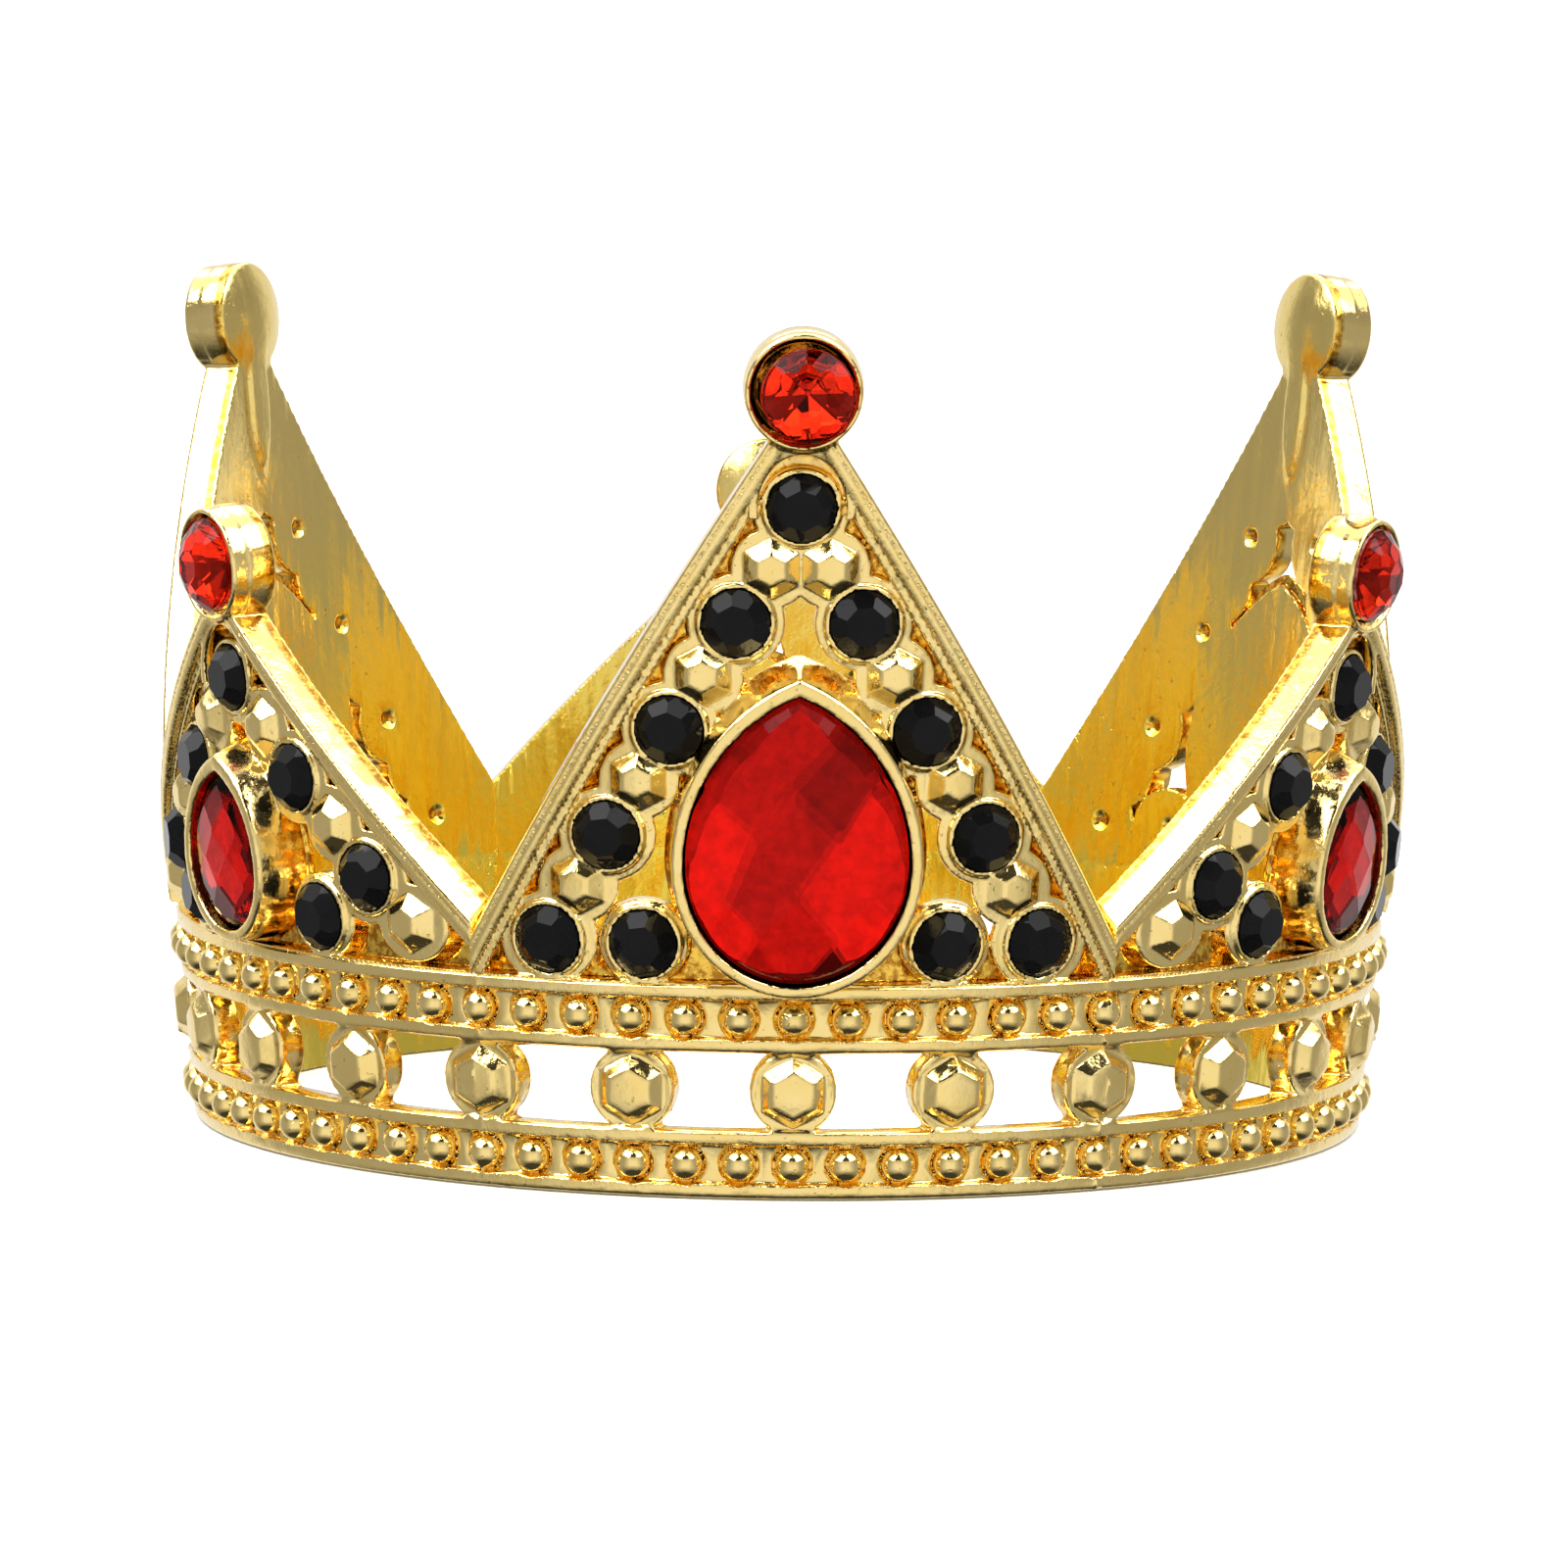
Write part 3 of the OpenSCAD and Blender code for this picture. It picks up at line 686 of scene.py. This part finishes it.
def gold():
    """Bright gold plating over a moulding: satin where the tool was milled, bright on the raised shapes and ragged
    along the milled edges. Painted shade darkens those edges and the recesses to brown, and a painted light gradient
    runs up the inner wall, vivid yellow low down."""
    m, tree, bsdf = shader("gold_plating")
    g = Graph(tree)
    mm = g.mm()
    satin, depth, chatter_and_crease_shade = g.attribute("satin"), g.attribute("depth"), g.attribute("chatter_and_crease_shade")
    xyz = g.node("SeparateXYZ", {0: mm})
    around = g.math("MULTIPLY", g.math("ARCTAN2", xyz.outputs[0], xyz.outputs[1]), 36.0)
    line = g.math("SINE", g.math("MULTIPLY", g.math("ADD", xyz.outputs[2], around), 2 * math.pi / 0.36))
    patch = g.noise(mm, 0.5, 2.0)
    wear = g.ramp(g.noise(mm, 1.1, 2.0), 0.35, 0.6, 0.25, 1.0)
    hatch = g.math("MULTIPLY", line, g.math("MULTIPLY", satin, wear))
    grain = g.noise(mm, 5.0, 3.0, 0.6)
    pits = g.ramp(g.noise(mm, 2.6, 2.0, 0.5), 0.68, 0.74)
    teeth = g.noise(g.node("CombineXYZ", {0: around, 1: g.math("MULTIPLY", xyz.outputs[2], 0.8), 2: depth}).outputs[0], 4.2, 2.0, 0.7)
    # this edge mask gives a real chatter relief through the bump and painted crease shade through the colour
    ragged_and_crease_shade = g.math("MULTIPLY", chatter_and_crease_shade, g.ramp(teeth, 0.5, 0.6))
    streak = g.noise(g.node("CombineXYZ", {0: around, 1: g.math("MULTIPLY", xyz.outputs[2], 0.06)}).outputs[0], 1.3, 3.0, 0.6)
    normal = g.bump(g.noise(mm, 0.9, 2.0, 0.5), 0.35, 0.12)
    normal = g.bump(g.math("SUBTRACT", grain, g.math("MULTIPLY", pits, 1.4)), 0.3, 0.03, normal)
    normal = g.bump(g.math("ADD", hatch, g.math("MULTIPLY", ragged_and_crease_shade, -1.3)), 0.5, 0.03, normal)
    normal = g.bump(streak, 0.2, 0.05, normal)
    inside = g.ramp(depth, -1.4, -1.5)
    recess = g.math("MULTIPLY", g.ramp(depth, -0.75, -1.05), g.ramp(inside, 0.0, 1.0, 1.0, 0.0))
    tone = g.mix(g.ramp(patch, 0.35, 0.65), (0.96, 0.71, 0.25, 1), (0.99, 0.76, 0.31, 1))
    # painted shade: the recesses are darkened to brown blotches
    recess_painted_shade = g.mix(g.ramp(g.noise(mm, 1.8, 3.0, 0.65), 0.42, 0.58), (0.95, 0.60, 0.09, 1), (0.45, 0.19, 0.02, 1))
    tone = g.mix(recess, tone, recess_painted_shade)
    # painted light: the inner wall is painted a vivid bright yellow low down, paler higher up
    inner_wall_painted_light = g.mix(g.ramp(xyz.outputs[2], 16.0, 36.0), (0.97, 0.72, 0.09, 1), (0.87, 0.66, 0.22, 1))
    tone = g.mix(inside, tone, inner_wall_painted_light)
    tone = g.mix(g.math("MULTIPLY", g.ramp(hatch, 0.9, -0.9), g.math("MULTIPLY", satin, 0.22)), tone, (0.62, 0.40, 0.12, 1))
    # painted shade: dark brown along the milled edges and grooves, over the chatter relief
    tone = g.mix(g.math("MULTIPLY", ragged_and_crease_shade, 0.35), tone, (0.42, 0.22, 0.04, 1))
    tone = g.mix(g.math("MULTIPLY", pits, 0.5), tone, (0.45, 0.25, 0.05, 1))
    rough = g.math("ADD", g.ramp(grain, 0.3, 0.7, 0.06, 0.15), g.math("MULTIPLY", satin, 0.2))
    rough = g.math("ADD", rough, g.math("MULTIPLY", g.ramp(streak, 0.3, 0.7), g.math("MULTIPLY", inside, 0.15)))
    g.set(bsdf, Base_Color=tone, Metallic=1.0, Roughness=rough, Normal=normal)
    return m


def red_glass(name, tint, deep):
    """Clear red stone, with fine surface scratches and a painted reflection: a tint that differs from facet to facet,
    standing in for the reflections off the foil.
    """
    m, tree, bsdf = shader(name)
    g = Graph(tree)
    mm = g.mm()
    # painted reflections: the per-facet tone, with a faint noise, picks the colour between deep and tint
    cloud = g.math("MULTIPLY_ADD", g.ramp(g.noise(mm, 0.4, 2.0), 0.3, 0.7), 0.1, g.attribute("facet"))
    scratch = g.noise(g.node("VectorMath", {0: mm, 1: (1.0, 1.0, 7.0)}, operation="MULTIPLY").outputs[0], 2.4, 3.0, 0.7)
    g.set(bsdf, Base_Color=g.mix(cloud, deep, tint), Roughness=g.ramp(scratch, 0.6, 0.85, 0.0, 0.06), IOR=1.52,
          Transmission_Weight=1.0, Specular_Tint=(0.25, 0.12, 0.12, 1), Normal=g.bump(scratch, 0.05, 0.004))
    return m


def foil(name, colour):
    """The mirror backing of a stone, a little crinkled."""
    m, tree, bsdf = shader(name)
    g = Graph(tree)
    crinkle = g.noise(g.mm(), 1.1, 3.0, 0.6)
    g.set(bsdf, Base_Color=g.mix(g.ramp(crinkle, 0.35, 0.7), colour, tuple(0.7 * c for c in colour[:3]) + (1,)), Metallic=1.0,
          Roughness=g.ramp(crinkle, 0.3, 0.8, 0.01, 0.08), Normal=g.bump(crinkle, 0.1, 0.01))
    return m


def jet():
    """Glossy black stone with handling smears and a few tiny chips."""
    m, tree, bsdf = shader("black_stone")
    g = Graph(tree)
    mm = g.mm()
    smear = g.noise(mm, 0.8, 3.0, 0.6)
    chips = g.ramp(g.noise(mm, 3.2, 2.0), 0.7, 0.76)
    g.set(bsdf, Base_Color=g.mix(smear, (0.002, 0.002, 0.002, 1), (0.004, 0.004, 0.004, 1)), IOR=1.45,
          Specular_Tint=(0.22, 0.22, 0.23, 1),
          Roughness=g.math("ADD", g.ramp(smear, 0.4, 0.75, 0.03, 0.13), g.math("MULTIPLY", chips, 0.25)),
          Normal=g.bump(chips, -0.2, 0.02))
    return m


def glue():
    """Clear adhesive, cloudy in places."""
    m, tree, bsdf = shader("clear_glue")
    g = Graph(tree)
    cloud = g.noise(g.mm(), 1.4, 3.0, 0.6)
    g.set(bsdf, Base_Color=(0.97, 0.95, 0.9, 1), IOR=1.46, Transmission_Weight=g.ramp(cloud, 0.5, 0.8, 1.0, 0.7),
          Roughness=g.ramp(cloud, 0.4, 0.75, 0.04, 0.3), Normal=g.bump(cloud, 0.25, 0.08))
    return m


GOLD = gold()
DROP_RED = red_glass("red_teardrop", (0.46, 0.006, 0.003, 1), (0.02, 0.001, 0.001, 1))
ROUND_RED = red_glass("red_round", (0.75, 0.035, 0.010, 1), (0.10, 0.002, 0.001, 1))
DROP_FOIL = foil("teardrop_foil", (0.92, 0.6, 0.5, 1))
ROUND_FOIL = foil("round_foil", (0.97, 0.6, 0.4, 1))
JET, GLUE = jet(), glue()

# ---------------------------------------------------------------- the crown
rng = np.random.default_rng(7)

co, corners = reduced(*ring_shape(), RING_FACES)
co[:, 2] = np.maximum(co[:, 2], 0.0)                    # the crown stands on a flat rim
mesh = gold_mesh("ring_casting", co, corners, ring_chatter_and_crease_shade(*(co / MM).T), 0)
finish_mesh("ring_casting", mesh, "base_ring", [GOLD])
casts = {}
for d in (LARGE, SMALL):
    co, corners = reduced(*point_shape(d), POINT_FACES)
    casts[id(d)] = co, corners, point_chatter_and_crease_shade(d, *(co / MM).T)
for point in POINTS:
    name = f"point_{point}_casting"
    mesh = gold_mesh(name, *casts[id(design(point))], PITCH * (point - 1))
    finish_mesh(name, mesh, f"point_{point}", [GOLD])

BLACK, ROUND = black_shape(), round_shape()
DROPS = {id(d): drop_shape(d["drop"]) for d in (LARGE, SMALL)}


def loose(amount):
    return tuple(rng.uniform(-amount, amount, 2))


def black_part(angle, z):
    return BLACK, Seat(angle, z), -0.35, rng.uniform(0, math.pi / 4), loose(0.03), (0.0, 0.0)


STONE_SHIFT = {1: (0.28, -0.2)}         # the front tip stone was set a little to the right and low
SPILT_POINT = 2                          # the point whose cup has spilt glue on it


def glue_mesh(name, seat, shift, spilt):
    """The glue that holds a tip stone: a wavy bead round its back and, where it spilt, a drop on top of the cup."""
    bm = bmesh.new()
    around, across_bead = 64, 10
    phase = rng.uniform(0, 6.3, 4)
    rings = []
    for i in range(around):
        a = 2 * math.pi * i / around
        wave = sum(math.sin((2 + k) * a + phase[k]) / (1 + k) for k in range(4))
        reach = (0.26 if spilt else 0.14) + 0.05 * wave
        ring = []
        for j in range(across_bead):
            t = 2 * math.pi * j / across_bead
            r = 2.62 + reach * math.cos(t)
            w = 1.02 + (0.2 + 0.05 * wave) * math.sin(t)
            ring.append(bm.verts.new((r * math.cos(a) + shift[0], r * math.sin(a) + shift[1], w)))
        rings.append(ring)
    for i, ring in enumerate(rings):
        after = rings[(i + 1) % around]
        for j in range(across_bead):
            k = (j + 1) % across_bead
            bm.faces.new((ring[j], after[j], after[k], ring[k]))
    if spilt:
        made = bmesh.ops.create_uvsphere(bm, u_segments=32, v_segments=20, radius=1.0)
        for v in made["verts"]:
            x, y, z = v.co
            v.co = (-0.5 + 1.25 * x * (1 + 0.1 * y), TIP_R - 0.1 + 0.42 * y - 0.12 * x * x, 0.1 + 0.95 * z)
    bmesh.ops.recalc_face_normals(bm, faces=bm.faces)
    p = np.array([v.co for v in bm.verts])
    for v, co in zip(bm.verts, seat.world(p[:, 0], p[:, 1], p[:, 2]) * MM):
        v.co = co
    mesh = bpy.data.meshes.new(name)
    bm.to_mesh(mesh)
    bm.free()
    mesh.shade_smooth()
    return mesh


for point in POINTS:
    d, middle = design(point), PITCH * (point - 1)
    sets = {"top": [(middle, d["top"][0])],
            "left": [(middle - deg, z) for z, deg in d["row"]],
            "right": [(middle + deg, z) for z, deg in d["row"]],
            "base": [(middle + side * d["base"][1], d["base"][0]) for side in (-1, 1)]}
    for place, seats in sets.items():
        name = f"black_{place}_{point}"
        mesh = stone_mesh(name, [black_part(angle, z) for angle, z in seats])
        finish_mesh(name + "_cut", mesh, name, [JET])
    name = f"teardrop_{point}"
    # the steep teardrop facets are painted darker, as shade
    mesh = stone_mesh(name, [(DROPS[id(d)], Seat(middle, d["drop"][3]), 0.25, 0.0, (0.0, 0.0), (0.0, 0.0))], steep_facet_shade=0.35)
    finish_mesh(name + "_cut", mesh, name, [DROP_RED, DROP_FOIL])
    name = f"tip_stone_{point}"
    shift = STONE_SHIFT.get(point) or loose(0.12)
    mesh = stone_mesh(name, [(ROUND, Seat(middle, d["cup_z"]), 1.2, rng.uniform(0, 1), loose(0.06), shift)])
    finish_mesh(name + "_cut", mesh, name, [ROUND_RED, ROUND_FOIL])
    name = f"tip_glue_{point}"
    mesh = glue_mesh(name, Seat(middle, d["cup_z"]), shift, spilt=point == SPILT_POINT)
    finish_mesh(name + "_bead", mesh, name, [GLUE])
    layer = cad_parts[f"teardrop_glue_{point}"]
    layer.data.materials.clear()
    layer.data.materials.append(GLUE)

# ---------------------------------------------------------------- floor, light and camera
bpy.ops.mesh.primitive_circle_add(vertices=96, radius=6.0, fill_type="NGON", location=(0, 0, -0.0001))
floor = bpy.context.object
floor.name = "floor"
m, tree, bsdf = shader("pale_floor")
g = Graph(tree)
tone = g.noise(g.node("TexCoord").outputs["Object"], 3.0, 2.0)
g.set(bsdf, Base_Color=g.mix(tone, (0.90, 0.90, 0.90, 1), (0.93, 0.93, 0.93, 1)), Roughness=0.7)
floor.data.materials.append(m)


def softbox(name, turn, lift, distance, size, radiance, aim=(0, 0, 0.02)):
    """A square light of that radiance, at an angle round from the front and above the floor."""
    light = bpy.data.lights.new(name, "AREA")
    light.shape, light.size, light.size_y = "RECTANGLE", size[0], size[1]
    light.energy = radiance * math.pi * size[0] * size[1]
    ob = bpy.data.objects.new(name, light)
    bpy.context.scene.collection.objects.link(ob)
    t, e = math.radians(turn), math.radians(lift)
    away = Vector((math.sin(t) * math.cos(e), -math.cos(t) * math.cos(e), math.sin(e)))
    ob.location = Vector(aim) + away * distance
    ob.rotation_euler = away.to_track_quat("Z", "Y").to_euler()


softbox("left", -62, 52, 0.8, (0.75, 0.6), 5.0)
softbox("right", 62, 52, 0.8, (0.6, 0.6), 4.4)
softbox("back", 180, 50, 1.0, (1.0, 0.6), 2.0)

world = bpy.data.worlds.new("studio")
bpy.context.scene.world = world
world.use_nodes = True
g = Graph(world.node_tree)
xyz = g.node("SeparateXYZ", {0: g.node("TexCoord").outputs["Generated"]})
x, y, z = (xyz.outputs[i] for i in range(3))
table_glow = g.ramp(z, -0.85, -0.4, 0.05, 0.96)
table_glow = g.math("MULTIPLY", table_glow, g.ramp(z, 0.1, 0.5, 1.0, 0.72))
table_glow = g.math("MULTIPLY", table_glow, g.ramp(g.math("ABSOLUTE", x), 0.4, 0.9, 1.0, 0.42))
table_glow = g.math("MAXIMUM", table_glow, g.ramp(y, 0.3, 0.7, 0.0, 0.9))
ceiling = g.ramp(g.math("ABSOLUTE", x), 0.30, 0.36, 0.04, 1.4)
ceiling = g.math("MAXIMUM", ceiling, g.ramp(y, -0.2, 0.0, 0.0, 1.4))
studio = g.math("ADD", g.math("MULTIPLY", table_glow, g.ramp(z, 0.58, 0.54)),
                g.math("MULTIPLY", ceiling, g.ramp(z, 0.54, 0.58)))
path = g.node("LightPath")
plain = g.math("MAXIMUM", path.outputs["Is Camera Ray"], path.outputs["Is Diffuse Ray"])
back = world.node_tree.nodes["Background"]
world.node_tree.links.new(g.mix(plain, g.node("CombineColor", {0: studio, 1: studio, 2: studio}).outputs[0], (1.12, 1.12, 1.12, 1)),
                          back.inputs["Color"])
floor.visible_glossy = False

scene = bpy.context.scene
scene.view_settings.view_transform = "Standard"

# The camera's place, fitted to the photo's view of the crown
EYE_FROM, EYE_LIFT, EYE_TURN, EYE_ROLL = 607.3, 7.186, -1.477, 0.687
AXIS_Z, FOCAL = 10.85, 222.9
AIM_RIGHT, AIM_UP = 3.26, -159.04
camera = bpy.data.objects.new("camera", bpy.data.cameras.new("camera"))
scene.collection.objects.link(camera)
scene.camera = camera
camera.data.lens, camera.data.sensor_width = FOCAL, 36.0
turn, lift = math.radians(EYE_TURN), math.radians(EYE_LIFT)
back = Vector((math.sin(turn) * math.cos(lift), -math.cos(turn) * math.cos(lift), math.sin(lift)))
right = Vector((math.cos(turn), math.sin(turn), 0))
camera.location = Vector((0, 0, AXIS_Z * MM)) + back * EYE_FROM * MM
reach = FOCAL / 36.0 * 1600
ahead = (-back + right * (AIM_RIGHT / reach) - back.cross(right) * (AIM_UP / reach)).normalized()
camera.rotation_mode = "QUATERNION"
camera.rotation_quaternion = ahead.to_track_quat("-Z", "Y") @ Quaternion((0, 0, 1), math.radians(EYE_ROLL))
camera.data.clip_start, camera.data.clip_end = 0.01, 20.0
